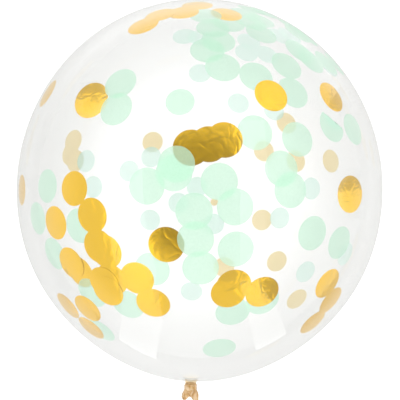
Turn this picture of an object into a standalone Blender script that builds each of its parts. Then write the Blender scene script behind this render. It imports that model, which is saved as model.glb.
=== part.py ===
"""Giant confetti balloon, blown up and tied, lying loose on its side.

The balloon is one moulded piece of latex: the round envelope, its drawn-in neck, the knot and the
tail with its rolled rim. It is a sealed vessel, so the envelope is solid. The frame is +Z up, with
the crown towards +Y and the tail towards -Y, and the origin is at the middle of the small flat
spot that the balloon rests on.
"""

from math import cos, pi, radians, sin, sqrt

import bmesh
import bpy
from mathutils import Matrix, Vector

# The envelope, in metres, from its widest circle to the crown and to the shoulder at the neck
ENVELOPE_WIDTH = 0.600
CROWN_LENGTH = 0.3137
SHOULDER_LENGTH = 0.3165
PEAR_TAPER = 0.10
PEAR_POWER = 4
FLAT_SPOT_RADIUS = 0.040

# The neck between the envelope and the knot
NECK_ROOT_RADIUS = 0.024
NECK_RADIUS = 0.0090
NECK_LENGTH = 0.0148
NECK_SHOULDER = 0.62
NECK_STRAIGHT = 0.55
NECK_OVERLAP = 0.0016

# The knot, two turns of the neck pulled tight round it
KNOT_WIDTH = 0.0225
KNOT_STRAND = 0.0080
KNOT_SINK = 0.7
KNOT_TILT = radians(11)
KNOT_CROSSING_TILT = radians(-19)

# The tail below the knot, a flattened tube that bows out into two lobes with an arch between them
TAIL_LENGTH = 0.0232
TAIL_WIDTH = 0.0290
TAIL_DEPTH = 0.0120
TAIL_ROOT_RADIUS = 0.0070
TAIL_ARCH = 0.0085
TAIL_SKEW = 0.0020
LOBE_PLACE = 0.78
LOBE_ROUNDING = 0.0034
FLARE_TURN = radians(112)
LATEX_WALL = 0.0006
RIM_BEAD = 0.0024

# How finely the round shapes are cut
TURNS = 60
BODY_STEPS = 42
NECK_STEPS = 8
KNOT_RINGS = 32
KNOT_SIDES = 12
TAIL_RINGS = 8
TAIL_SIDES = 40
BEAD_STEPS = 48

SMALL_TURN = 0.01
CUTTER_DEPTH = 0.02
MERGE = 0.00001


def clear_scene():
    """Removes what the file opened with."""
    for thing in list(bpy.data.objects):
        bpy.data.objects.remove(thing, do_unlink=True)


def new_collection(name):
    """Adds a collection to the scene."""
    collection = bpy.data.collections.new(name)
    bpy.context.scene.collection.children.link(collection)
    return collection


def latex_material():
    """Clear natural latex, slightly warm, and glossy."""
    material = bpy.data.materials.new("clear_latex")
    material.use_nodes = True
    shader = material.node_tree.nodes["Principled BSDF"]
    shader.inputs["Base Color"].default_value = (0.93, 0.91, 0.85, 1.0)
    shader.inputs["Roughness"].default_value = 0.12
    shader.inputs["Metallic"].default_value = 0.0
    shader.inputs["Alpha"].default_value = 0.35
    return material


def axis_height():
    """The height of the balloon's axis above the flat spot that it rests on."""
    return sqrt((ENVELOPE_WIDTH / 2) ** 2 - FLAT_SPOT_RADIUS**2)


def body_point(turn):
    """A point (radius, height) of the envelope's outline, turn running from 0 at the crown to pi."""
    radius = ENVELOPE_WIDTH / 2 * sin(turn)
    if turn <= pi / 2:
        return radius, CROWN_LENGTH * cos(turn)
    depth = -cos(turn)
    return radius * (1 - PEAR_TAPER * depth**PEAR_POWER), -SHOULDER_LENGTH * depth


def neck_start_turn():
    """The turn at which the envelope's outline has drawn in to the root of the neck."""
    low, high = pi / 2, pi
    for _ in range(40):
        middle = (low + high) / 2
        if body_point(middle)[0] > NECK_ROOT_RADIUS:
            low = middle
        else:
            high = middle
    return (low + high) / 2


def neck_end_height():
    """The height, below the widest circle, at which the neck enters the knot."""
    return -SHOULDER_LENGTH - NECK_LENGTH


def knot_height():
    """The height of the middle of the knot, where the neck ends and the tail begins."""
    return neck_end_height() - KNOT_STRAND * KNOT_SINK


def neck_point(share):
    """A point of the cone that runs from the envelope into the neck, on a smooth Bezier curve."""
    start = Vector(body_point(neck_start_turn()))
    before = Vector(body_point(neck_start_turn() - SMALL_TURN))
    inwards = (start - before).normalized() * (NECK_ROOT_RADIUS - NECK_RADIUS) * NECK_SHOULDER
    end = Vector((NECK_RADIUS, neck_end_height()))
    upwards = Vector((0, NECK_LENGTH * NECK_STRAIGHT))
    handles = (start, start + inwards, end + upwards, end)
    rest = 1 - share
    weights = (rest**3, 3 * rest**2 * share, 3 * rest * share**2, share**3)
    return sum((handle * weight for handle, weight in zip(handles, weights)), Vector((0, 0)))


def envelope_outline():
    """The outline to be turned, from the crown to the neck's end, past the root of the tail."""
    last = neck_start_turn()
    outline = [body_point(last * step / BODY_STEPS) for step in range(BODY_STEPS + 1)]
    outline += [tuple(neck_point(step / NECK_STEPS)) for step in range(1, NECK_STEPS + 1)]
    tip = knot_height() - NECK_OVERLAP / 2
    outline += [(NECK_RADIUS, tip), (0.0, tip)]
    return outline


def make_object(name, mesh, collection, axis):
    """Links a mesh as an object that stands on the balloon's axis."""
    thing = bpy.data.objects.new(name, mesh)
    collection.objects.link(thing)
    thing.parent = axis
    return thing


def make_balloon(collection, axis, material):
    """The envelope and its neck, turned about the balloon's axis."""
    shape = bmesh.new()
    corners = [shape.verts.new((radius, 0, height)) for radius, height in envelope_outline()]
    for upper, lower in zip(corners, corners[1:]):
        shape.edges.new((upper, lower))
    mesh = bpy.data.meshes.new("latex_balloon")
    shape.to_mesh(mesh)
    shape.free()
    mesh.materials.append(material)
    balloon = make_object("latex_balloon", mesh, collection, axis)
    turn = balloon.modifiers.new("turn", "SCREW")
    turn.axis = "Z"
    turn.angle = 2 * pi
    turn.steps = TURNS
    turn.render_steps = TURNS
    turn.use_merge_vertices = True
    turn.merge_threshold = MERGE
    turn.use_smooth_shade = True
    return balloon


def hide_as_guide(thing):
    """Keeps an object that a Boolean reads out of the model itself."""
    thing.hide_render = True
    thing.display_type = "WIRE"


def knot_strand(name, tilt, collection, axis, material):
    """One turn of the knot, a ring of latex round the neck, tilted across it."""
    shape = bmesh.new()
    ring = (KNOT_WIDTH - KNOT_STRAND) / 2
    circle = bmesh.ops.create_circle(shape, segments=KNOT_SIDES, radius=KNOT_STRAND / 2)
    bmesh.ops.transform(
        shape,
        matrix=Matrix.Translation((ring, 0, 0)) @ Matrix.Rotation(pi / 2, 4, "X"),
        verts=circle["verts"],
    )
    bmesh.ops.spin(
        shape,
        geom=shape.verts[:] + shape.edges[:],
        angle=2 * pi,
        axis=(0, 0, 1),
        steps=KNOT_RINGS,
        use_merge=True,
        use_duplicate=False,
    )
    bmesh.ops.remove_doubles(shape, verts=shape.verts[:], dist=MERGE)
    bmesh.ops.recalc_face_normals(shape, faces=shape.faces[:])
    mesh = bpy.data.meshes.new(name)
    shape.to_mesh(mesh)
    shape.free()
    mesh.materials.append(material)
    mesh.shade_smooth()
    strand = make_object(name, mesh, collection, axis)
    strand.location = (0, 0, knot_height())
    strand.rotation_euler = (0, tilt, 0)
    hide_as_guide(strand)
    return strand


def rim_lift(across):
    """How far the rim is drawn up, from the arch at its middle (0) to the tail's sides (1)."""
    if across < LOBE_PLACE:
        return TAIL_ARCH * (1 + cos(pi * across / LOBE_PLACE)) / 2
    past = (across - LOBE_PLACE) / (1 - LOBE_PLACE)
    return LOBE_ROUNDING * past**2


def tail_point(share, angle):
    """A point of the tail's outer face, share running from 0 in the knot to 1 at the rim."""
    flare = sin(FLARE_TURN * share)
    half_width = TAIL_ROOT_RADIUS + (TAIL_WIDTH / 2 - TAIL_ROOT_RADIUS) * flare
    half_depth = TAIL_ROOT_RADIUS + (TAIL_DEPTH / 2 - TAIL_ROOT_RADIUS) * flare
    length = TAIL_LENGTH + TAIL_SKEW * cos(angle) - rim_lift(abs(cos(angle))) * share
    root = knot_height() + NECK_OVERLAP / 2
    return Vector((half_width * cos(angle), half_depth * sin(angle), root - length * share))


def make_tail(collection, axis, material):
    """The flared tube below the knot, an open surface given the latex's thickness inwards."""
    shape = bmesh.new()
    rings = []
    for ring in range(TAIL_RINGS + 1):
        share = ring / TAIL_RINGS
        angles = [2 * pi * side / TAIL_SIDES for side in range(TAIL_SIDES)]
        rings.append([shape.verts.new(tail_point(share, angle)) for angle in angles])
    for upper, lower in zip(rings, rings[1:]):
        for side in range(TAIL_SIDES):
            after = (side + 1) % TAIL_SIDES
            shape.faces.new((upper[side], lower[side], lower[after], upper[after]))
    mesh = bpy.data.meshes.new("tail")
    shape.to_mesh(mesh)
    shape.free()
    mesh.materials.append(material)
    mesh.shade_smooth()
    tail = make_object("tail", mesh, collection, axis)
    wall = tail.modifiers.new("wall", "SOLIDIFY")
    wall.thickness = LATEX_WALL
    wall.offset = -1
    hide_as_guide(tail)
    return tail


def make_rim_bead(collection, axis, material):
    """The rolled rim, a bead along the tail's edge, made as a curve and then as a closed mesh."""
    curve = bpy.data.curves.new("rim_bead", "CURVE")
    curve.dimensions = "3D"
    curve.bevel_depth = RIM_BEAD / 2
    curve.bevel_resolution = 2
    line = curve.splines.new("POLY")
    line.points.add(BEAD_STEPS - 1)
    for step, point in enumerate(line.points):
        place = tail_point(1.0, 2 * pi * step / BEAD_STEPS)
        inwards = Vector((-place.x, -place.y, 0)).normalized() * LATEX_WALL / 2
        point.co = (*(place + inwards), 1)
    line.use_cyclic_u = True
    tube = bpy.data.objects.new("rim_bead_curve", curve)
    collection.objects.link(tube)
    graph = bpy.context.evaluated_depsgraph_get()
    mesh = bpy.data.meshes.new_from_object(tube.evaluated_get(graph))
    bpy.data.objects.remove(tube, do_unlink=True)
    shape = bmesh.new()
    shape.from_mesh(mesh)
    bmesh.ops.remove_doubles(shape, verts=shape.verts[:], dist=MERGE)
    bmesh.ops.recalc_face_normals(shape, faces=shape.faces[:])
    shape.to_mesh(mesh)
    shape.free()
    mesh.name = "rim_bead"
    mesh.materials.append(material)
    bead = make_object("rim_bead", mesh, collection, axis)
    hide_as_guide(bead)
    return bead


def make_flat_cutter(collection):
    """A block whose top is the surface that the balloon rests on."""
    side = ENVELOPE_WIDTH / 2
    shape = bmesh.new()
    bmesh.ops.create_cube(shape, size=1.0)
    bmesh.ops.scale(shape, vec=(side, side, CUTTER_DEPTH), verts=shape.verts[:])
    bmesh.ops.translate(shape, vec=(0, 0, -CUTTER_DEPTH / 2), verts=shape.verts[:])
    mesh = bpy.data.meshes.new("flat_spot_cutter")
    shape.to_mesh(mesh)
    shape.free()
    cutter = bpy.data.objects.new("flat_spot_cutter", mesh)
    collection.objects.link(cutter)
    hide_as_guide(cutter)
    return cutter


def join(thing, other, operation):
    """Adds a Boolean with another object. The exact solver leaves open edges round the tail."""
    boolean = thing.modifiers.new(other.name, "BOOLEAN")
    boolean.operation = operation
    boolean.object = other
    boolean.solver = "MANIFOLD"


def main():
    """Builds the balloon in its resting pose."""
    clear_scene()
    parts = new_collection("confetti_balloon")
    guides = new_collection("guides")
    material = latex_material()

    axis = bpy.data.objects.new("balloon_axis", None)
    parts.objects.link(axis)
    axis.location = (0, 0, axis_height())
    axis.rotation_euler = (-pi / 2, 0, 0)

    balloon = make_balloon(parts, axis, material)
    pieces = [
        knot_strand("knot_loop", KNOT_TILT, guides, axis, material),
        knot_strand("knot_crossing", KNOT_CROSSING_TILT, guides, axis, material),
        make_tail(guides, axis, material),
        make_rim_bead(guides, axis, material),
    ]
    for piece in pieces:
        join(balloon, piece, "UNION")
    join(balloon, make_flat_cutter(guides), "DIFFERENCE")
    bpy.context.view_layer.update()


main()
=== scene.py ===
"""Looks of the giant confetti balloon, which lies on its side on a pale floor.

The balloon is a skin of clear latex, with the neck, knot and tail in thicker amber latex, and
discs of gold foil and mint tissue cling to the inside of the skin. The frame is the solid's own:
+Z up, the crown towards +Y, the tail towards -Y, in metres.
"""

from math import atan2, cos, hypot, pi, radians, sin, sqrt, tan

import bmesh
import bpy
from mathutils import Matrix, Vector
from mathutils.noise import noise


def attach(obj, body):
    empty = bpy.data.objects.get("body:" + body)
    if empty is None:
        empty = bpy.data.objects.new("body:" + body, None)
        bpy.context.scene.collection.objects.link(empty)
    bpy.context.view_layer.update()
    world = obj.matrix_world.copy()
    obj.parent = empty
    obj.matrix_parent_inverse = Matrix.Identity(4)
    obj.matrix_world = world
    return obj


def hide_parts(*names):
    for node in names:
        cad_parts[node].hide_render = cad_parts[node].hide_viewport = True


# The balloon's sizes, the same as the solid's
ENVELOPE_WIDTH = 0.600
CROWN_LENGTH = 0.3137
SHOULDER_LENGTH = 0.3165
PEAR_TAPER = 0.10
PEAR_POWER = 4
FLAT_SPOT_RADIUS = 0.040
NECK_ROOT_RADIUS = 0.024
NECK_RADIUS = 0.0090
NECK_LENGTH = 0.0148
NECK_SHOULDER = 0.62
NECK_STRAIGHT = 0.55
NECK_OVERLAP = 0.0016
KNOT_WIDTH = 0.0225
KNOT_STRAND = 0.0080
KNOT_SINK = 0.7
KNOT_TILT = radians(11)
KNOT_CROSSING_TILT = radians(-19)
TAIL_LENGTH = 0.0232
TAIL_WIDTH = 0.0290
TAIL_DEPTH = 0.0120
TAIL_ROOT_RADIUS = 0.0070
TAIL_ARCH = 0.0085
TAIL_SKEW = 0.0020
LOBE_PLACE = 0.78
LOBE_ROUNDING = 0.0034
FLARE_TURN = radians(112)
RIM_BEAD = 0.0024

# The confetti: a disc's width, how far it lies off the wall, and how much further under another
DISC_WIDTH = 0.0455
DISC_INSET = 0.0003
DISC_STACK = 0.00018

# How near, in widths, the middles of two discs are where one lies under the other
TOUCHING = 0.98

# How unevenly a disc lies: its slope, its curl from side to side, and the lift of its very edge
DISC_SLOPE = 0.002
DISC_CURL = 0.0004
EDGE_LIFT = 0.0001

# The depth and the fineness of the discs' ripples
RIPPLES = {"gold": (0.00016, 3.0), "mint": (0.00012, 2.0)}

# How many pleats and fine pleats run round the drawn-in neck
PLEATS = 13
FINE_PLEATS = 29

# How far the parts of the knot are sunk into each other, and the width of the voxels that melt them
PART_SINK = 0.0004
MELT_WIDTH = 0.00034

# The camera, over the balloon, with the picture's size and the balloon's place in it in pixels
PICTURE = 400
SENSOR = 36.0
FOCAL_PIXELS = 584.4
CAMERA_TO_AXIS = 1.004
CAMERA_ROLL = radians(2.66)
BALLOON_IN_PICTURE = (199.66, 190.9)

AXIS_HEIGHT = sqrt((ENVELOPE_WIDTH / 2) ** 2 - FLAT_SPOT_RADIUS**2)
CENTRE = Vector((0, 0, AXIS_HEIGHT))

# The floor, and the lamp over the camera
FLOOR_WIDTH = 3.0
FLOOR_DROP = 0.0003
LAMP_WIDTH = 2.0
LAMP_HEIGHT = 2.4
LAMP_BRIGHTNESS = 1.6

# The two light panels' edges, outer and inner, from over the crown to the floor past the tail
LEFT_LIGHT = (
    ((-0.89, 0.53, 1.00), (-0.61, 0.58, 1.26)),
    ((-0.93, 0.32, 1.09), (-0.61, 0.35, 1.37)),
    ((-0.93, -0.05, 1.15), (-0.60, -0.02, 1.44)),
    ((-0.87, -0.42, 1.11), (-0.53, -0.43, 1.38)),
    ((-0.83, -0.60, 1.03), (-0.48, -0.62, 1.31)),
    ((-0.74, -0.77, 0.95), (-0.40, -0.80, 1.20)),
    ((-0.64, -0.98, 0.67), (-0.33, -1.03, 0.92)),
    ((-0.58, -1.05, 0.39), (-0.27, -1.14, 0.67)),
    ((-0.51, -1.02, 0.05), (-0.22, -1.00, 0.03)),
)
RIGHT_LIGHT = (
    ((0.61, 0.68, 1.18), (0.38, 0.68, 1.31)),
    ((0.67, 0.41, 1.31), (0.41, 0.40, 1.45)),
    ((0.70, -0.15, 1.36), (0.44, -0.16, 1.50)),
    ((0.67, -0.56, 1.23), (0.45, -0.58, 1.35)),
    ((0.63, -0.84, 1.00), (0.44, -0.87, 1.10)),
    ((0.71, -0.96, 0.51), (0.48, -1.07, 0.65)),
    ((0.65, -0.94, 0.08), (0.44, -1.05, 0.05)),
)

# Dark and bright cards in the room, which the foil mirrors: their brightness, the lean in degrees
# of the disc that mirrors them, and the corners of their mirror image in pixels of the picture
CARDS = (
    (0.70, 9, ((70, 74), (112, 74), (110, 95), (70, 99.5))),
    (1.40, 9, ((70, 99.5), (110, 95), (116, 128), (66, 128))),
    (0.70, 7, ((332, 168), (370, 168), (369, 186), (333, 193))),
    (1.40, 7, ((333, 193), (369, 186), (372, 220), (330, 220))),
    (1.40, 0, ((252, 74), (293, 74), (293, 117), (252, 117))),
    (0.90, 0, ((339, 87), (353, 95), (345, 119), (326, 107))),
    (1.35, 0, ((69, 290), (86, 290), (104, 330), (84, 330))),
    (0.50, 0, ((258.5, 277), (286, 277), (286, 303), (273, 304))),
    (0.65, 0, ((212, 264), (253, 264), (250, 279), (216, 282))),
)

# How far the cards are from the foil, and their brightness in the film's gloss, as the room's own
CARD_REACH = 0.85
ROOM_LIGHT = 1.15

# The light panels' brightness in the film's own gloss, and in what lies behind the film
PANEL_GLOSS = 1.9
PANEL_BEHIND = 1.35

# The room's brightness, from the walls (0) to overhead (1), and how much higher up it counts as it
# gets nearer to the tail's side
TAIL_SIDE_GLOOM = 0.12
ROOM = (
    (0.0, 1.36),
    (0.14, 1.27),
    (0.26, 1.10),
    (0.42, 1.00),
    (0.60, 0.92),
    (0.76, 0.92),
    (0.84, 0.62),
    (0.91, 0.35),
    (1.0, 0.22),
)

# The discs, in the order in which they cling to the wall: what they are of, their place in the
# picture and, where they differ from the rest, their width, how many degrees they lean, and the
# direction in degrees in which they are folded over and how far from the middle
NEAR_WALL = (
    ("gold", 47, 93),
    ("mint", 120, 83),
    ("mint", 115.5, 108.5),
    ("gold", 88.6, 98.2, 1.14, 9),
    ("mint", 46.5, 186),
    ("gold", 21, 190),
    ("gold", 91.5, 215.5),
    ("gold", 73.5, 188.5),
    ("mint", 37, 218.5),
    ("gold", 55, 223),
    ("gold", 98, 246.5),
    ("gold", 105.5, 252),
    ("mint", 78.5, 226),
    ("gold", 107.5, 291.5),
    ("gold", 103.5, 283),
    ("gold", 111, 280),
    ("gold", 87, 309),
    ("mint", 91, 293.5),
    ("gold", 70.7, 263.5),
    ("gold", 79.5, 272.5),
    ("mint", 54, 254),
    ("gold", 136.6, 279),
    ("gold", 152.7, 304),
    ("mint", 127, 305.5),
    ("gold", 67.3, 306.3),
    ("gold", 90.5, 328.5),
    ("mint", 100.5, 331),
    ("mint", 180, 101.5, 0.80),
    ("mint", 176.3, 164),
    ("mint", 146.5, 186),
    ("gold", 191.2, 147.3),
    ("gold", 209, 143.8),
    ("gold", 224.7, 139.4),
    ("mint", 173.8, 172.5),
    ("mint", 255.5, 132),
    ("mint", 219.5, 181.5),
    ("mint", 235.5, 207),
    ("mint", 194, 211.5),
    ("mint", 195.5, 239.5),
    ("gold", 166, 245),
    ("mint", 151.7, 270),
    ("mint", 200.5, 268.5),
    ("mint", 236, 249.5),
    ("gold", 262.5, 292.5),
    ("gold", 228.7, 293),
    ("gold", 234, 286),
    ("mint", 233, 312.5),
    ("mint", 263.2, 301),
    ("mint", 219.5, 349),
    ("gold", 271.5, 95),
    ("mint", 256.5, 76),
    ("mint", 222.8, 66.6),
    ("mint", 287, 65.2),
    ("mint", 293.5, 92),
    ("mint", 298, 139),
    ("mint", 291, 190),
    ("mint", 282, 168.5),
    ("gold", 332, 96.5),
    ("mint", 332.5, 125.5, 1.0, 0, 56, 0.010),
    ("mint", 353.5, 129),
    ("gold", 353, 194.3, 1.13, 7),
    ("mint", 313, 233.5),
    ("mint", 340, 243),
    ("gold", 328, 284),
    ("gold", 331.3, 301),
    ("gold", 313.5, 323),
    ("gold", 143, 25),
    ("gold", 160, 14),
    ("gold", 183, 11.5),
    ("gold", 197.5, 4.3),
    ("mint", 205.5, 14.5),
    ("gold", 226.5, 13),
    ("mint", 229, 22),
    ("mint", 218.5, 40.5),
    ("mint", 207.5, 49.5),
    ("mint", 213, 27),
    ("mint", 252, 21),
    ("mint", 262, 32),
    ("mint", 246, 12),
    ("mint", 260.5, 18.5),
    ("mint", 298, 33),
    ("mint", 299.5, 50.5),
    ("mint", 311.5, 60),
    ("mint", 327, 62),
    ("mint", 264.5, 12.2),
    ("mint", 291.4, 25.4),
    ("mint", 306.4, 35.9),
    ("mint", 335.5, 63),
    ("mint", 252.5, 8),
)
FAR_WALL = (
    ("gold", 152.5, 142),
    ("gold", 73, 141),
    ("gold", 70, 154),
    ("gold", 75, 161),
    ("gold", 286.5, 123),
    ("gold", 264, 151),
    ("gold", 296, 161),
    ("gold", 331, 161),
    ("gold", 262, 220),
    ("gold", 277, 261.5),
    ("gold", 297, 299.3),
    ("gold", 224, 267),
    ("gold", 214.3, 202.0, 0.36),
    ("mint", 129, 171),
    ("mint", 150, 220),
    ("mint", 93, 187),
    ("mint", 85.5, 161),
    ("mint", 151, 157),
    ("mint", 238.5, 103),
    ("mint", 311.5, 188.5),
    ("mint", 280, 218),
    ("mint", 214, 224),
    ("mint", 305.8, 272),
    ("mint", 345.5, 254),
    ("mint", 191.5, 291.5),
    ("mint", 200, 73),
    ("mint", 178.5, 203),
    ("mint", 197, 187),
    ("mint", 274, 110),
    ("mint", 184.5, 36),
    ("mint", 200, 37),
    ("mint", 246.5, 52.5),
    ("mint", 249, 41),
    ("mint", 267, 54),
    ("mint", 290, 35),
    ("mint", 298.5, 48.5),
    ("mint", 311, 61),
    ("mint", 328.5, 66),
    ("mint", 306, 53),
    ("mint", 280, 35.5),
)


class Signal:
    """A value in a node tree. Arithmetic on it adds Math nodes."""

    def __init__(self, graph, socket):
        self.graph = graph
        self.socket = socket

    def math(self, operation, *terms):
        """The result of a Math node on this and other values."""
        return self.graph.node("ShaderNodeMath", {"operation": operation}, dict(enumerate(terms)))

    def __add__(self, other):
        return self.math("ADD", self, other)

    def __sub__(self, other):
        return self.math("SUBTRACT", self, other)

    def __rsub__(self, other):
        return self.math("SUBTRACT", other, self)

    def __mul__(self, other):
        return self.math("MULTIPLY", self, other)

    def __pow__(self, other):
        return self.math("POWER", self, other)

    __radd__ = __add__
    __rmul__ = __mul__


class Graph:
    """A node tree, with one method that makes every node in it."""

    def __init__(self, tree):
        self.tree = tree
        tree.nodes.clear()

    def node(self, kind, settings=None, sockets=None, output=0):
        """Adds a node with its settings first and then its sockets, and gives one output."""
        made = self.tree.nodes.new(kind)
        for name, value in (settings or {}).items():
            if name == "stops":
                self.set_stops(made.color_ramp, value)
            else:
                setattr(made, name, value)
        for name, value in (sockets or {}).items():
            if isinstance(value, Signal):
                self.tree.links.new(value.socket, made.inputs[name])
            else:
                made.inputs[name].default_value = value
        return Signal(self, made.outputs[output]) if made.outputs else made

    @staticmethod
    def set_stops(ramp, stops):
        """Gives a colour ramp its stops, as (place, grey or colour)."""
        while len(ramp.elements) < len(stops):
            ramp.elements.new(1.0)
        for element, (place, colour) in zip(ramp.elements, stops):
            element.position = place
            element.color = colour if isinstance(colour, tuple) else (colour, colour, colour, 1)


def new_material(name):
    """An empty node material and its graph."""
    material = bpy.data.materials.new(name)
    material.use_nodes = True
    return material, Graph(material.node_tree)


def film_material():
    """Clear latex stretched thin: see-through, a little hazy, glossy, and greyer at a slant, as
    painted shade.

    It is greyer towards the left, and thicker towards the neck, where it turns amber.
    """
    material, graph = new_material("clear_latex_film")
    slant = graph.node("ShaderNodeLayerWeight", None, {"Blend": 0.5}, output="Facing")
    # Painted shade: the film is made greyer the more slanted it is seen
    painted_slant_shade = graph.node(
        "ShaderNodeValToRGB",
        {"stops": ((0.14, 0.0), (0.26, 0.19), (0.36, 0.28), (0.5, 0.38), (0.8, 0.48), (1.0, 0.60))},
        {"Fac": slant},
    )
    clear = graph.node("ShaderNodeBsdfTransparent", None, {"Color": (0.995, 0.995, 0.993, 1)})
    grey = graph.node("ShaderNodeBsdfTransparent", None, {"Color": (0.60, 0.60, 0.59, 1)})
    haze = graph.node("ShaderNodeBsdfTranslucent", None, {"Color": (0.96, 0.96, 0.955, 1)})
    gloss = graph.node("ShaderNodeBsdfGlossy", None, {"Color": (1, 1, 1, 1), "Roughness": 0.03})
    place = graph.node("ShaderNodeTexCoord", output="Object")
    across = graph.node("ShaderNodeSeparateXYZ", None, {"Vector": place}, "X")
    # Greyer towards the left
    left_greying = across.math("MINIMUM", across, 0.0) ** 2 * 1.5
    along = graph.node("ShaderNodeSeparateXYZ", None, {"Vector": place}, "Y")
    thick_end = graph.node(
        "ShaderNodeMapRange",
        {"interpolation_type": "SMOOTHSTEP"},
        {"Value": along, "From Min": -0.304, "From Max": -0.315, "To Max": 0.38},
    )
    painted_shade_and_thickness = painted_slant_shade.math("MAXIMUM", painted_slant_shade + left_greying, thick_end)
    see_through = graph.node("ShaderNodeMixShader", None, {0: painted_shade_and_thickness, 1: clear, 2: grey})
    body = graph.node("ShaderNodeMixShader", None, {0: 0.12, 1: see_through, 2: haze})
    near_neck = graph.node(
        "ShaderNodeMapRange",
        {"interpolation_type": "SMOOTHSTEP"},
        {"Value": along, "From Min": -0.316, "From Max": -0.331, "To Max": 0.7},
    )
    amber = graph.node("ShaderNodeBsdfTransparent", None, {"Color": (0.90, 0.74, 0.42, 1)})
    body = graph.node("ShaderNodeMixShader", None, {0: near_neck, 1: body, 2: amber})
    shine = slant.math("MINIMUM", slant, 0.66) ** 3.5 * 0.70 + 0.036
    surface = graph.node("ShaderNodeMixShader", None, {0: shine, 1: body, 2: gloss})
    graph.node("ShaderNodeOutputMaterial", None, {"Surface": surface})
    return material


def amber_material():
    """Unstretched latex of the knot and the tail: amber, waxy, lit through where it is thin, with
    painted shade.
    """
    material, graph = new_material("amber_latex")
    place = graph.node("ShaderNodeTexCoord", output="Object")
    drawn_out = graph.node("ShaderNodeMapping", None, {"Vector": place, "Scale": (1.0, 0.4, 1.0)})
    cloud = graph.node(
        "ShaderNodeTexNoise", None, {"Vector": drawn_out, "Scale": 300.0, "Detail": 3.0}
    )
    # The tint's dark streaks, drawn out along the knot, are painted shade in the folds of the latex
    tint = graph.node(
        "ShaderNodeValToRGB",
        {
            "stops": (
                (0.38, (0.42, 0.24, 0.08, 1)),
                (0.48, (0.68, 0.45, 0.20, 1)),
                (0.62, (0.92, 0.74, 0.50, 1)),
            )
        },
        {"Fac": cloud},
    )
    # Painted shade: the colour darkens to dark olive where the surface is seen edge-on
    edge = graph.node("ShaderNodeLayerWeight", None, {"Blend": 0.5}, output="Facing")
    colour_with_painted_shading = graph.node(
        "ShaderNodeMix",
        {"data_type": "RGBA"},
        {"Factor": edge**2.5, 6: tint, 7: (0.34, 0.24, 0.08, 1)},
        2,
    )
    grain = graph.node(
        "ShaderNodeBump", None, {"Strength": 1.0, "Distance": 0.0012, "Height": cloud}
    )
    skin = graph.node(
        "ShaderNodeBsdfPrincipled",
        None,
        {
            "Base Color": colour_with_painted_shading,
            "Roughness": 0.22,
            "Normal": grain,
            "Coat Weight": 0.6,
            "Coat Roughness": 0.06,
        },
    )
    glow = graph.node("ShaderNodeBsdfTranslucent", None, {"Color": (0.92, 0.72, 0.42, 1)})
    surface = graph.node("ShaderNodeMixShader", None, {0: 0.42, 1: skin, 2: glow})
    graph.node("ShaderNodeOutputMaterial", None, {"Surface": surface})
    return material


def gold_material():
    """Metallised foil: mirror-bright gold with soft creases, and a matte back painted pale as haze
    light.
    """
    material, graph = new_material("gold_foil")
    place = graph.node("ShaderNodeTexCoord", output="Object")
    buckle = graph.node(
        "ShaderNodeTexNoise",
        None,
        {"Vector": place, "Scale": 55.0, "Detail": 1.0, "Distortion": 0.6},
    )
    crinkle = graph.node(
        "ShaderNodeTexNoise", None, {"Vector": place, "Scale": 330.0, "Detail": 3.0}
    )
    folded = (buckle - 0.5).math("ABSOLUTE", buckle - 0.5)
    relief = graph.node(
        "ShaderNodeBump",
        None,
        {"Strength": 1.0, "Distance": 0.0013, "Height": folded + crinkle * 0.045},
    )
    foil = graph.node(
        "ShaderNodeBsdfPrincipled",
        None,
        {
            "Base Color": (1.0, 0.620, 0.018, 1),
            "Metallic": 1.0,
            "Roughness": 0.14,
            "Coat Weight": 0.5,
            "Coat Roughness": 0.05,
            "Normal": relief,
        },
    )
    # The back's paleness is painted light: it stands in for the film's haze over the discs on the
    # far wall, which show their backs
    back = graph.node(
        "ShaderNodeBsdfPrincipled", None, {"Base Color": (0.87, 0.72, 0.40, 1), "Roughness": 0.5}
    )
    inner_face = graph.node("ShaderNodeNewGeometry", output="Backfacing")
    surface = graph.node("ShaderNodeMixShader", None, {0: inner_face, 1: foil, 2: back})
    graph.node("ShaderNodeOutputMaterial", None, {"Surface": surface})
    return material


def mint_material():
    """Thin mint tissue: matte, lit through, partly see-through, and paler inside as painted haze
    light.
    """
    material, graph = new_material("mint_tissue")
    place = graph.node("ShaderNodeTexCoord", output="Object")
    fibre = graph.node(
        "ShaderNodeTexNoise", None, {"Vector": place, "Scale": 420.0, "Detail": 5.0}
    )
    tint = graph.node(
        "ShaderNodeValToRGB",
        {"stops": ((0.3, (0.48, 0.78, 0.585, 1)), (0.7, (0.54, 0.84, 0.645, 1)))},
        {"Fac": fibre},
    )
    # The inner face is painted paler: painted light that stands in for the film's haze over the
    # discs on the far wall, which show their inner faces
    inner_face = graph.node("ShaderNodeNewGeometry", output="Backfacing")
    colour_with_painted_shading = graph.node(
        "ShaderNodeMix",
        {"data_type": "RGBA"},
        {"Factor": inner_face * 0.7, 6: tint, 7: (0.76, 0.95, 0.94, 1)},
        2,
    )
    paper = graph.node(
        "ShaderNodeBsdfPrincipled", None, {"Base Color": colour_with_painted_shading, "Roughness": 0.85}
    )
    glow = graph.node("ShaderNodeBsdfTranslucent", None, {"Color": (0.64, 0.92, 0.75, 1)})
    sheet = graph.node("ShaderNodeMixShader", None, {0: 0.15, 1: paper, 2: glow})
    open_weave = graph.node("ShaderNodeBsdfTransparent", None, {"Color": (1, 1, 1, 1)})
    surface = graph.node("ShaderNodeMixShader", None, {0: 0.72, 1: open_weave, 2: sheet})
    graph.node("ShaderNodeOutputMaterial", None, {"Surface": surface})
    return material


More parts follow.
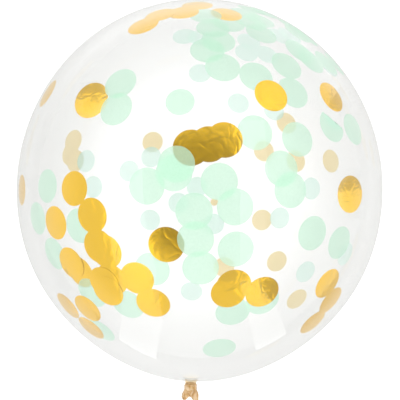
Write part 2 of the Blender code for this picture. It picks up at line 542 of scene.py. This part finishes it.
def floor_material():
    """A plain white light table, brighter past the crown and dim past the tail."""
    material, graph = new_material("white_floor")
    matte = graph.node("ShaderNodeBsdfDiffuse", None, {"Color": (0.6, 0.6, 0.6, 1)})
    place = graph.node("ShaderNodeTexCoord", output="Object")
    along = graph.node("ShaderNodeSeparateXYZ", None, {"Vector": place}, "Y")
    lit = graph.node(
        "ShaderNodeValToRGB",
        {"stops": ((0.25, 0.44), (0.36, 0.55), (0.64, 0.55), (0.75, 0.85))},
        {"Fac": along * (1 / FLOOR_WIDTH) + 0.5},
    )
    light = graph.node("ShaderNodeEmission", None, {"Color": lit, "Strength": 1.0})
    surface = graph.node("ShaderNodeAddShader", None, {0: matte, 1: light})
    graph.node("ShaderNodeOutputMaterial", None, {"Surface": surface})
    return material


def add_mesh(name, shape, material=None):
    """Makes an object of a bmesh, shaded smooth, in the frame's own place."""
    mesh = bpy.data.meshes.new(name)
    shape.to_mesh(mesh)
    shape.free()
    mesh.shade_smooth()
    if material:
        mesh.materials.append(material)
    thing = bpy.data.objects.new(name, mesh)
    bpy.context.scene.collection.objects.link(thing)
    return thing


def body_point(turn):
    """A point (radius, height) of the envelope's outline, turn running from 0 at the crown."""
    radius = ENVELOPE_WIDTH / 2 * sin(turn)
    if turn <= pi / 2:
        return radius, CROWN_LENGTH * cos(turn)
    depth = -cos(turn)
    return radius * (1 - PEAR_TAPER * depth**PEAR_POWER), -SHOULDER_LENGTH * depth


def wall_radius(y):
    """The radius of the envelope at a place along its axis."""
    if y >= 0:
        return body_point(atan2(sqrt(max(0.0, 1 - (y / CROWN_LENGTH) ** 2)), y / CROWN_LENGTH))[0]
    share = min(1.0, -y / SHOULDER_LENGTH)
    return body_point(pi - atan2(sqrt(1 - share**2), share))[0]


def neck_start_turn():
    """The turn at which the envelope's outline has drawn in to the root of the neck."""
    low, high = pi / 2, pi
    for _ in range(40):
        middle = (low + high) / 2
        if body_point(middle)[0] > NECK_ROOT_RADIUS:
            low = middle
        else:
            high = middle
    return (low + high) / 2


NECK_END = -SHOULDER_LENGTH - NECK_LENGTH
KNOT_PLACE = NECK_END - KNOT_STRAND * KNOT_SINK


def neck_point(share):
    """A point of the cone that runs from the envelope into the neck, on a smooth Bezier curve."""
    start = Vector(body_point(neck_start_turn()))
    before = Vector(body_point(neck_start_turn() - 0.01))
    inwards = (start - before).normalized() * (NECK_ROOT_RADIUS - NECK_RADIUS) * NECK_SHOULDER
    end = Vector((NECK_RADIUS, NECK_END))
    upwards = Vector((0, NECK_LENGTH * NECK_STRAIGHT))
    handles = (start, start + inwards, end + upwards, end)
    rest = 1 - share
    weights = (rest**3, 3 * rest**2 * share, 3 * rest * share**2, share**3)
    return sum((handle * weight for handle, weight in zip(handles, weights)), Vector((0, 0)))


def on_axis(x, depth, height):
    """A point given about the balloon's axis, height along it and depth below it, in the frame."""
    return Vector((x, height, AXIS_HEIGHT - depth))


def ring_of(shape, radius, height, sides, pleats=0.0):
    """A ring of points round the balloon's axis, drawn into pleats."""
    ring = []
    for side in range(sides):
        angle = 2 * pi * side / sides
        fine = 0.6 * sin(FINE_PLEATS * angle + 1)
        wide = radius * (1 + pleats * (sin(PLEATS * angle) + fine))
        place = on_axis(wide * cos(angle), wide * sin(angle), height)
        ring.append(shape.verts.new((place.x, place.y, max(place.z, 0.0))))
    return ring


def bridge(shape, rings, closed_start=None, closed_end=None):
    """Skins the rings, and closes the ends on single points."""
    for upper, lower in zip(rings, rings[1:]):
        for side, point in enumerate(upper):
            after = (side + 1) % len(upper)
            shape.faces.new((point, upper[after], lower[after], lower[side]))
    for point, ring, turned in ((closed_start, rings[0], False), (closed_end, rings[-1], True)):
        if point is None:
            continue
        tip = shape.verts.new(point)
        for side, corner in enumerate(ring):
            after = ring[(side + 1) % len(ring)]
            shape.faces.new((tip, corner, after) if turned else (tip, after, corner))


def make_film(material):
    """The thin skin of the envelope and of the neck down into the knot."""
    sides, steps, neck_steps = 160, 110, 24
    shape = bmesh.new()
    last = neck_start_turn()
    rings = []
    for step in range(1, steps + 1):
        radius, height = body_point(last * step / steps)
        rings.append(ring_of(shape, radius, height, sides))
    for step in range(1, neck_steps + 1):
        radius, height = neck_point(step / neck_steps)
        rings.append(ring_of(shape, radius, height, sides, 0.03 * (step / neck_steps) ** 2))
    crown = on_axis(0, 0, CROWN_LENGTH)
    bridge(shape, rings, crown, on_axis(0, 0, KNOT_PLACE))
    bmesh.ops.recalc_face_normals(shape, faces=shape.faces[:])
    return add_mesh("latex_film", shape, material)


def strand_of_knot(shape, tilt):
    """One turn of the knot round the neck, tilted across it."""
    ring = (KNOT_WIDTH - KNOT_STRAND) / 2
    turned = Matrix.Rotation(tilt, 3, "Y")
    rings = []
    for step in range(48):
        along = 2 * pi * step / 48
        circle = []
        for side in range(20):
            angle = 2 * pi * side / 20
            out = ring + KNOT_STRAND / 2 * cos(angle)
            off_ring = KNOT_STRAND / 2 * sin(angle)
            place = turned @ Vector((out * cos(along), out * sin(along), off_ring))
            circle.append(shape.verts.new(on_axis(place.x, place.y, KNOT_PLACE + place.z)))
        rings.append(circle)
    bridge(shape, rings + rings[:1])


def rim_lift(across):
    """How far the rim is drawn up, from the arch at its middle (0) to the tail's sides (1)."""
    if across < LOBE_PLACE:
        return TAIL_ARCH * (1 + cos(pi * across / LOBE_PLACE)) / 2
    past = (across - LOBE_PLACE) / (1 - LOBE_PLACE)
    return LOBE_ROUNDING * past**2


def tail_point(share, angle, inset=0.0):
    """A point of the tail, share running from 0 in the knot to 1 at the rim, set into the wall."""
    flare = sin(FLARE_TURN * share)
    half_width = TAIL_ROOT_RADIUS + (TAIL_WIDTH / 2 - TAIL_ROOT_RADIUS) * flare - inset
    half_depth = TAIL_ROOT_RADIUS + (TAIL_DEPTH / 2 - TAIL_ROOT_RADIUS) * flare - inset
    length = TAIL_LENGTH + TAIL_SKEW * cos(angle) - rim_lift(abs(cos(angle))) * share
    fold = 1 + 0.06 * sin(3 * angle + 4 * share) * sin(pi * share)
    fold += 0.05 * sin(7 * angle) * (1 - share)
    height = KNOT_PLACE + NECK_OVERLAP / 2 - length * share
    return on_axis(half_width * cos(angle) * fold, half_depth * sin(angle) * fold, height)


def tail_of_knot(shape):
    """The flared tube below the knot, with an inner face, closed where it starts."""
    sides, steps, wall = 72, 24, 0.0009
    rings = []
    for step in range(steps + 1):
        angles = [2 * pi * side / sides for side in range(sides)]
        rings.append([shape.verts.new(tail_point(step / steps, angle)) for angle in angles])
    for step in range(steps, 0, -1):
        angles = [2 * pi * side / sides for side in range(sides)]
        rings.append([shape.verts.new(tail_point(step / steps, angle, wall)) for angle in angles])
    root = on_axis(0, 0, KNOT_PLACE + NECK_OVERLAP / 2)
    bottom = on_axis(0, 0, KNOT_PLACE - KNOT_STRAND / 2)
    bridge(shape, rings, root, bottom)


def rim_of_tail(shape):
    """The rolled rim, a bead along the edge of the tail."""
    steps, sides = 96, 12
    points = [tail_point(1.0, 2 * pi * step / steps, PART_SINK) for step in range(steps)]
    rings = []
    for step, point in enumerate(points):
        along = (points[(step + 1) % steps] - points[step - 1]).normalized()
        aside = along.cross(Vector((0, 1, 0))).normalized()
        up = along.cross(aside)
        circle = []
        for side in range(sides):
            angle = 2 * pi * side / sides
            reach = RIM_BEAD / 2 * (cos(angle) * aside + sin(angle) * up)
            circle.append(shape.verts.new(point + reach))
        rings.append(circle)
    bridge(shape, rings + rings[:1])


def make_knot(material):
    """The knot and the tail, their parts melted into one skin."""
    shape = bmesh.new()
    strand_of_knot(shape, KNOT_TILT)
    strand_of_knot(shape, KNOT_CROSSING_TILT)
    tail_of_knot(shape)
    rim_of_tail(shape)
    top, bottom, sides, pleats = NECK_END + PART_SINK, KNOT_PLACE - NECK_OVERLAP / 2, 60, 0.03
    neck = [ring_of(shape, NECK_RADIUS, height, sides, pleats) for height in (top, bottom)]
    bridge(shape, neck, on_axis(0, 0, top), on_axis(0, 0, KNOT_PLACE - NECK_OVERLAP))
    bmesh.ops.recalc_face_normals(shape, faces=shape.faces[:])
    knot = add_mesh("knot_and_tail", shape, material)
    melt = knot.modifiers.new("melt", "REMESH")
    melt.mode = "VOXEL"
    melt.voxel_size = MELT_WIDTH
    melt.use_smooth_shade = True
    even = knot.modifiers.new("even", "SMOOTH")
    even.iterations = 4
    even.factor = 0.5
    return bake_modifiers(knot)


def bake_modifiers(thing):
    """Turns an object with its modifiers into a plain mesh."""
    graph = bpy.context.evaluated_depsgraph_get()
    mesh = bpy.data.meshes.new_from_object(thing.evaluated_get(graph))
    thing.modifiers.clear()
    old = thing.data
    thing.data = mesh
    mesh.name = thing.name
    bpy.data.meshes.remove(old)
    return thing


def picture_axes():
    """The camera's right and up in the frame."""
    right = Vector((cos(CAMERA_ROLL), sin(CAMERA_ROLL), 0))
    up = Vector((-sin(CAMERA_ROLL), cos(CAMERA_ROLL), 0))
    return right, up


def camera_place():
    """Where the camera stands, so that the balloon's middle falls on its place in the picture."""
    right, up = picture_axes()
    metres = CAMERA_TO_AXIS / FOCAL_PIXELS
    across = (BALLOON_IN_PICTURE[0] - PICTURE / 2) * metres
    above = (PICTURE / 2 - BALLOON_IN_PICTURE[1]) * metres
    return CENTRE - right * across - up * above + Vector((0, 0, CAMERA_TO_AXIS))


def outside(place):
    """How far a point is outside the envelope, measured across the axis."""
    return hypot(place.x, place.z - AXIS_HEIGHT) - wall_radius(place.y)


def wall_place(x, y, near):
    """The point of the near or the far wall that a place in the picture shows."""
    right, up = picture_axes()
    start = camera_place()
    aim = right * (x - PICTURE / 2) + up * (PICTURE / 2 - y) + Vector((0, 0, -FOCAL_PIXELS))
    aim.normalize()
    nearest, furthest, steps = CAMERA_TO_AXIS - 0.34, CAMERA_TO_AXIS + 0.36, 400
    reaches = [nearest + (furthest - nearest) * step / steps for step in range(steps + 1)]
    inside = [reach for reach in reaches if outside(start + aim * reach) < 0]
    if not inside:
        return start + aim * min(reaches, key=lambda reach: outside(start + aim * reach))
    step = (furthest - nearest) / steps
    low = inside[0] - step if near else inside[-1]
    high = inside[0] if near else inside[-1] + step
    for _ in range(20):
        middle = (low + high) / 2
        if (outside(start + aim * middle) < 0) == near:
            high = middle
        else:
            low = middle
    return start + aim * (low + high) / 2


def outwards(place):
    """The direction out of the wall at a point on it."""
    step = 0.0005
    slope = [
        outside(place + Vector(axis) * step) - outside(place - Vector(axis) * step)
        for axis in ((1, 0, 0), (0, 1, 0), (0, 0, 1))
    ]
    return Vector(slope).normalized()


def lean_slope(facing, lean):
    """The slope of a disc that leans so that it faces more upwards, given its wall's direction."""
    towards_top = Vector((0, 0, 1)) - facing * facing.z
    return towards_top.normalized() * tan(lean)


def settled_discs():
    """Every disc: what it is of, its place, width, slope, depth, and the way and reach of its fold.

    A disc lies deeper than the discs before it that it touches.
    """
    right, up = picture_axes()
    settled = []
    for near, discs in ((True, NEAR_WALL), (False, FAR_WALL)):
        laid = []
        for index, disc in enumerate(discs):
            foil, x, y, size, lean, fold, fold_reach = disc + (1.0, 0.0, 0.0, 1.0)[len(disc) - 3 :]
            place = wall_place(x, y, near)
            facing = outwards(place)
            slope = lean_slope(facing, radians(lean))
            slope += facing.cross(Vector((0, 1, 0))) * wobble(index, 0)
            slope += Vector((0, 1, 0)) * wobble(index, 1)
            touching = DISC_WIDTH * TOUCHING
            under = [low for other, low in laid if (other - place).length < touching]
            rise = slope.length * DISC_WIDTH * size / 2
            depth = max(under, default=DISC_INSET) + rise
            laid.append((place, depth + rise + DISC_STACK))
            away = right * cos(radians(fold)) + up * sin(radians(fold))
            away = (away - facing * away.dot(facing)).normalized()
            settled.append((foil, place, DISC_WIDTH * size, slope, depth, away, fold_reach))
    return settled


def disc_tree(name):
    """The node tree that lays a disc on each point, folds it over and wraps it on to the wall."""
    tree = bpy.data.node_groups.new(name, "GeometryNodeTree")
    graph = Graph(tree)
    sockets = (
        ("Places", "INPUT", "NodeSocketGeometry"),
        ("Wall", "INPUT", "NodeSocketObject"),
        ("Ripple Depth", "INPUT", "NodeSocketFloat"),
        ("Ripple Fineness", "INPUT", "NodeSocketFloat"),
        ("Finish", "INPUT", "NodeSocketMaterial"),
        ("Discs", "OUTPUT", "NodeSocketGeometry"),
    )
    for title, way, kind in sockets:
        tree.interface.new_socket(title, in_out=way, socket_type=kind)

    def given(title):
        return graph.node("NodeGroupInput", output=title)

    def attribute(title, kind="FLOAT"):
        return graph.node("GeometryNodeInputNamedAttribute", {"data_type": kind}, {"Name": title})

    def vector(operation, *terms, output=0):
        return graph.node(
            "ShaderNodeVectorMath", {"operation": operation}, dict(enumerate(terms)), output
        )

    blank = graph.node(
        "GeometryNodeMeshCone",
        {"fill_type": "NONE"},
        {
            "Vertices": 44,
            "Side Segments": 8,
            "Radius Top": 0.0,
            "Radius Bottom": 0.5,
            "Depth": 0.0,
        },
    )
    position = graph.node("GeometryNodeInputPosition")
    marked = graph.node(
        "GeometryNodeStoreNamedAttribute",
        {"data_type": "FLOAT_VECTOR", "domain": "POINT"},
        {"Geometry": blank, "Name": "across", "Value": position},
    )
    spin = graph.node("ShaderNodeCombineXYZ", None, {"Z": attribute("spin")})
    turn = graph.node("FunctionNodeEulerToRotation", None, {"Euler": spin})
    facing = graph.node(
        "FunctionNodeAlignRotationToVector",
        {"axis": "Z"},
        {"Rotation": turn, "Vector": attribute("facing", "FLOAT_VECTOR")},
    )
    width = attribute("width")
    laid = graph.node(
        "GeometryNodeInstanceOnPoints",
        None,
        {"Points": given("Places"), "Instance": marked, "Rotation": facing, "Scale": width},
    )
    flat = graph.node("GeometryNodeRealizeInstances", None, {"Geometry": laid})
    from_middle = vector("SUBTRACT", position, attribute("middle", "FLOAT_VECTOR"))
    fold = attribute("fold", "FLOAT_VECTOR")
    past = vector("DOT_PRODUCT", from_middle, fold, output="Value") - attribute("fold_reach")
    back = graph.node(
        "ShaderNodeVectorMath",
        {"operation": "SCALE"},
        {0: fold, "Scale": past.math("MAXIMUM", past, 0.0) * -2.0},
    )
    real = graph.node("GeometryNodeSetPosition", None, {"Geometry": flat, "Offset": back})
    wall = graph.node(
        "GeometryNodeObjectInfo",
        {"transform_space": "RELATIVE"},
        {"Object": given("Wall")},
        "Geometry",
    )
    on_wall = graph.node(
        "GeometryNodeProximity", {"target_element": "FACES"}, {"Target": wall}, "Position"
    )
    half = ENVELOPE_WIDTH / 2
    from_centre = vector("SUBTRACT", position, tuple(CENTRE))
    slope = vector("MULTIPLY", from_centre, (-1 / half**2, -1 / CROWN_LENGTH**2, -1 / half**2))
    inwards = vector("NORMALIZE", slope)
    across = attribute("across", "FLOAT_VECTOR")
    ripples = graph.node(
        "ShaderNodeTexNoise",
        {"noise_dimensions": "3D"},
        {"Vector": vector("ADD", across, spin), "Scale": given("Ripple Fineness"), "Detail": 2.0},
    )
    aside = graph.node("ShaderNodeSeparateXYZ", None, {"Vector": across}, "X")
    edge = (vector("LENGTH", across, output="Value") * 2.0) ** 12 * EDGE_LIFT
    leaning = vector("DOT_PRODUCT", from_middle, attribute("lean", "FLOAT_VECTOR"), output="Value")
    ripple = (ripples - 0.5) * given("Ripple Depth")
    lift = aside * aside * attribute("curl") + ripple + edge + leaning + attribute("inset")
    sunk = graph.node("ShaderNodeVectorMath", {"operation": "SCALE"}, {0: inwards, "Scale": lift})
    placed = vector("ADD", on_wall, sunk)
    wrapped = graph.node("GeometryNodeSetPosition", None, {"Geometry": real, "Position": placed})
    smooth = graph.node("GeometryNodeSetShadeSmooth", None, {"Geometry": wrapped})
    finished = graph.node(
        "GeometryNodeSetMaterial", None, {"Geometry": smooth, "Material": given("Finish")}
    )
    graph.node("NodeGroupOutput", None, {"Discs": finished})
    return tree


def set_input(modifier, title, value):
    """Sets a modifier's input by the identifier of its socket."""
    for item in modifier.node_group.interface.items_tree:
        if item.name == title and item.in_out == "INPUT":
            modifier[item.identifier] = value


def wobble(index, way):
    """A small slope, different for each disc, by which it doesn't lie quite against the wall."""
    return DISC_SLOPE * noise(Vector((index * 1.37 + 0.4, way * 5.3 + 0.2, 0.7)))


def make_confetti(name, foil, discs, film, material):
    """All the discs of one foil or tissue, as one mesh."""
    shape = bmesh.new()
    layers = {
        "facing": shape.verts.layers.float_vector.new("facing"),
        "spin": shape.verts.layers.float.new("spin"),
        "width": shape.verts.layers.float.new("width"),
        "inset": shape.verts.layers.float.new("inset"),
        "curl": shape.verts.layers.float.new("curl"),
        "middle": shape.verts.layers.float_vector.new("middle"),
        "lean": shape.verts.layers.float_vector.new("lean"),
        "fold": shape.verts.layers.float_vector.new("fold"),
        "fold_reach": shape.verts.layers.float.new("fold_reach"),
    }
    for index, (kind, place, width, slope, depth, away, fold_reach) in enumerate(discs):
        if kind != foil:
            continue
        point = shape.verts.new(place)
        point[layers["facing"]] = outwards(place)
        point[layers["spin"]] = 2.4 * index
        point[layers["width"]] = width
        point[layers["middle"]] = place
        point[layers["lean"]] = slope
        point[layers["inset"]] = depth
        point[layers["fold"]] = away
        point[layers["fold_reach"]] = fold_reach
        point[layers["curl"]] = DISC_CURL * max(0.0, noise(Vector((index * 1.7, 0.3, 0.9))))
    places = add_mesh(name, shape)
    modifier = places.modifiers.new("discs", "NODES")
    modifier.node_group = disc_tree(name)
    set_input(modifier, "Wall", film)
    set_input(modifier, "Ripple Depth", RIPPLES[foil][0])
    set_input(modifier, "Ripple Fineness", RIPPLES[foil][1])
    set_input(modifier, "Finish", material)
    return bake_modifiers(places)


def make_floor(material):
    """A plain pale floor under the balloon."""
    shape = bmesh.new()
    bmesh.ops.create_grid(shape, x_segments=1, y_segments=1, size=FLOOR_WIDTH / 2)
    bmesh.ops.translate(shape, vec=(0, 0, -FLOOR_DROP), verts=shape.verts[:])
    return add_mesh("floor", shape, material)


def mirrored_place(x, y, lean):
    """The point in the room that a disc on the near wall mirrors at a place in the picture."""
    place = wall_place(x, y, True)
    aim = (place - camera_place()).normalized()
    facing = outwards(place)
    facing = (facing + lean_slope(facing, radians(lean))).normalized()
    return place + (aim - 2 * aim.dot(facing) * facing) * CARD_REACH


def two_way_glow(name, in_film, behind_film):
    """A light of one brightness in the film's own gloss, and of another for what is behind it."""
    material, graph = new_material(name)
    depth = graph.node("ShaderNodeLightPath", output="Transparent Depth")
    strength = depth.math("MINIMUM", depth, 1.0) * (behind_film - in_film) + in_film
    glow = graph.node("ShaderNodeEmission", None, {"Strength": strength})
    graph.node("ShaderNodeOutputMaterial", None, {"Surface": glow})
    return material


def make_card(name, corners, brightness):
    """A plain card that shows only in the mirror of the foil."""
    material = two_way_glow(name, ROOM_LIGHT, brightness)
    shape = bmesh.new()
    shape.faces.new([shape.verts.new(corner) for corner in corners])
    card = add_mesh(name, shape, material)
    card.visible_camera = False
    card.visible_diffuse = False
    card.visible_shadow = False


def make_soft_light(name, rows):
    """A long flexible light panel, bent over the balloon and given by points along its edges."""
    material = two_way_glow(name, PANEL_GLOSS, PANEL_BEHIND)
    shape = bmesh.new()
    pairs = [[shape.verts.new(point) for point in row] for row in rows]
    for (outer, inner), (next_outer, next_inner) in zip(pairs, pairs[1:]):
        shape.faces.new((outer, inner, next_inner, next_outer))
    panel = add_mesh(name, shape, material)
    panel.visible_camera = False


def make_studio():
    """Two tall soft lights, a lamp and the cards, in a room that is pale but dim overhead."""
    make_soft_light("left_softbox", LEFT_LIGHT)
    make_soft_light("right_softbox", RIGHT_LIGHT)
    for index, (brightness, lean, corners) in enumerate(CARDS):
        place = [mirrored_place(x, y, lean) for x, y in corners]
        make_card(f"card_{index}", place, brightness)
    overhead = bpy.data.lights.new("overhead", "AREA")
    overhead.size = LAMP_WIDTH
    overhead.energy = LAMP_BRIGHTNESS * LAMP_WIDTH**2 * pi
    lamp = bpy.data.objects.new("overhead", overhead)
    bpy.context.scene.collection.objects.link(lamp)
    lamp.location = (0, 0, LAMP_HEIGHT)
    lamp.visible_camera = False
    lamp.visible_glossy = False
    world = bpy.data.worlds.new("studio")
    bpy.context.scene.world = world
    world.use_nodes = True
    graph = Graph(world.node_tree)
    place = graph.node("ShaderNodeTexCoord", output="Generated")
    height = graph.node("ShaderNodeSeparateXYZ", None, {"Vector": place}, "Z")
    ahead = graph.node("ShaderNodeSeparateXYZ", None, {"Vector": place}, "Y")
    gloom = height + ahead.math("MINIMUM", ahead, 0.0) * -TAIL_SIDE_GLOOM
    room = graph.node("ShaderNodeValToRGB", {"stops": ROOM}, {"Fac": gloom})
    sky = graph.node("ShaderNodeBackground", None, {"Color": room, "Strength": 1.0})
    graph.node("ShaderNodeOutputWorld", None, {"Surface": sky})


def make_camera():
    """A camera that looks straight down on the balloon."""
    data = bpy.data.cameras.new("camera")
    data.sensor_width = SENSOR
    data.lens = FOCAL_PIXELS / PICTURE * SENSOR
    camera = bpy.data.objects.new("camera", data)
    bpy.context.scene.collection.objects.link(camera)
    camera.location = camera_place()
    camera.rotation_euler = (0, 0, CAMERA_ROLL)
    bpy.context.scene.camera = camera


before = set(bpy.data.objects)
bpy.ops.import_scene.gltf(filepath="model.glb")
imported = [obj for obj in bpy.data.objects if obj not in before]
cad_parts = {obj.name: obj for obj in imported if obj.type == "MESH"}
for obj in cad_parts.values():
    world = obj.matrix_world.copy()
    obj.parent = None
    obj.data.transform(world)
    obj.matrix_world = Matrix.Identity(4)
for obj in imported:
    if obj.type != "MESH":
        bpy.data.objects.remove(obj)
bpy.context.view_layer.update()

make_camera()
make_studio()
make_floor(floor_material())

film = make_film(film_material())
knot = make_knot(amber_material())
discs = settled_discs()
gold = make_confetti("gold_confetti", "gold", discs, film, gold_material())
mint = make_confetti("mint_confetti", "mint", discs, film, mint_material())

# The light passes through thin tissue to the foil and the tissue under it, and back
mint.visible_shadow = False
mint.visible_glossy = False

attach(film, "root")
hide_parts("latex_balloon")
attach(knot, "root")
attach(gold, "root")
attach(mint, "root")

scene = bpy.context.scene
scene.view_settings.view_transform = "Standard"
scene.cycles.transparent_max_bounces = 32
